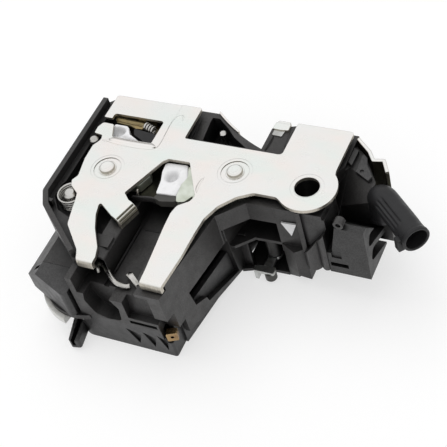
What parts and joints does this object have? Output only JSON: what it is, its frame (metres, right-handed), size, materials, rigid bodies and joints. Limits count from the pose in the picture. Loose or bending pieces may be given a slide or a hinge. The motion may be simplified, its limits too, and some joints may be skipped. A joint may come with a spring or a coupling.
{
  "type": "door latch actuator",
  "caption": "Powered door latch: bent steel latch plate with striker mouth, claw and pawl on a ribbed black housing with motor drive, connector box and rubber elbow boot.",
  "frame": {"origin": "middle of the round fixing hole, on the latch plate's upper face", "axes": "+X along the plate towards the connector, +Y away from the mouth, +Z out of the plate's upper face"},
  "size_m": [0.1515, 0.0999, 0.0452],
  "materials": {
    "zinc_steel": "bright zinc plated, brushed",
    "black_plastic": "moulded, fine grain",
    "grey_black_plastic": "moulded, fine grain",
    "connector_plastic": "moulded, satin",
    "olive_steel": "olive chromate",
    "spring_steel": "bright drawn",
    "lock_steel": "zinc plated, greenish",
    "white_coat": "smooth coated",
    "bumper_rubber": "moulded",
    "bronze_chromate": "yellow chromate",
    "brass": "bare brass",
    "boot_rubber": "soft matt",
    "cover_white": "natural nylon",
    "motor_steel": "drawn can",
    "lever_steel": "zinc plated"
  },
  "bodies": {
    "case": {"latch_plate": "zinc_steel", "plate_corner": "zinc_steel", "rivet_left": "zinc_steel", "rivet_right": "zinc_steel", "rear_clip": "zinc_steel", "arc_strip": "zinc_steel", "housing_left": "black_plastic", "housing_middle": "black_plastic", "housing_arm": "black_plastic", "housing_arm_foot": "black_plastic", "housing_arch": "black_plastic", "housing_shelf": "black_plastic", "housing_rear": "black_plastic", "housing_boss": "black_plastic", "housing_block": "black_plastic", "slider_guide": "black_plastic", "lever_stud": "black_plastic", "boss_eye": "black_plastic", "case_cap": "grey_black_plastic", "base_cover": "grey_black_plastic", "base_prong": "grey_black_plastic", "top_bracket": "grey_black_plastic", "boot_spigot": "grey_black_plastic", "connector_box": "connector_plastic", "back_plate": "olive_steel", "side_strap": "olive_steel", "pawl_spring": "spring_steel", "claw_spring": "spring_steel", "lever_spring": "spring_steel", "window_spring": "spring_steel", "buffer_wire": "spring_steel", "notch_pin": "spring_steel", "stop_pin": "spring_steel", "spring_post": "spring_steel", "lever_pin": "spring_steel", "wheel_axle": "spring_steel", "wire_tab": "bronze_chromate", "brass_terminal": "brass", "terminal_blades": "brass", "elbow_boot": "boot_rubber", "gear_cover": "cover_white", "motor": "motor_steel", "earth_tab": "lever_steel", "cover_screws": "lever_steel"},
    "claw_body": {"claw": "lock_steel", "claw_arm": "white_coat", "claw_bumper": "bumper_rubber"},
    "pawl_body": {"pawl": "lock_steel"},
    "release_lever_body": {"release_lever": "bronze_chromate"},
    "lock_slider_body": {"lock_slider": "white_coat"},
    "worm_body": {"worm": "motor_steel"},
    "wheel_body": {"worm_wheel": "cover_white"},
    "cable_lever_body": {"cable_lever": "lever_steel", "cable_nipple": "bumper_rubber"}
  },
  "joints": [
    {"name": "claw_turn", "type": "hinge", "parent": "case", "child": "claw_body", "pos_m": [-0.0302, 0.001, -0.0038], "axis": [0, 0, 1], "range_deg": [-28, 0], "stiffness_Nm_per_rad": 0.05, "springref_deg": 28.65},
    {"name": "pawl_turn", "type": "hinge", "parent": "case", "child": "pawl_body", "pos_m": [-0.0822, -0.0086, -0.0038], "axis": [0, 0, 1], "range_deg": [0, 8], "stiffness_Nm_per_rad": 0.02, "springref_deg": -28.65},
    {"name": "release_lever_turn", "type": "hinge", "parent": "case", "child": "release_lever_body", "pos_m": [-0.0756, 0.0182, -0.0069], "axis": [0, 0, 1], "range_deg": [-6, 0], "stiffness_Nm_per_rad": 0.01, "springref_deg": 28.65},
    {"name": "lock_slide", "type": "slide", "parent": "case", "child": "lock_slider_body", "axis": [1, 0, 0], "range_m": [-0.0015, 0.0015]},
    {"name": "worm_spin", "type": "hinge", "parent": "case", "child": "worm_body", "pos_m": [-0.0638, -0.04, -0.025], "axis": [0, 1, 0], "continuous": true},
    {"name": "wheel_spin", "type": "hinge", "parent": "case", "child": "wheel_body", "pos_m": [-0.081, -0.04, -0.025], "axis": [0, 0, 1], "continuous": true},
    {"name": "cable_lever_turn", "type": "hinge", "parent": "case", "child": "cable_lever_body", "pos_m": [-0.018, -0.005, -0.0385], "axis": [0, 0, 1], "range_deg": [0, 10], "stiffness_Nm_per_rad": 0.01, "springref_deg": -28.65}
  ],
  "couplings": [
    {"joint": "wheel_spin", "follows": "worm_spin", "ratio": -0.033333}
  ]
}
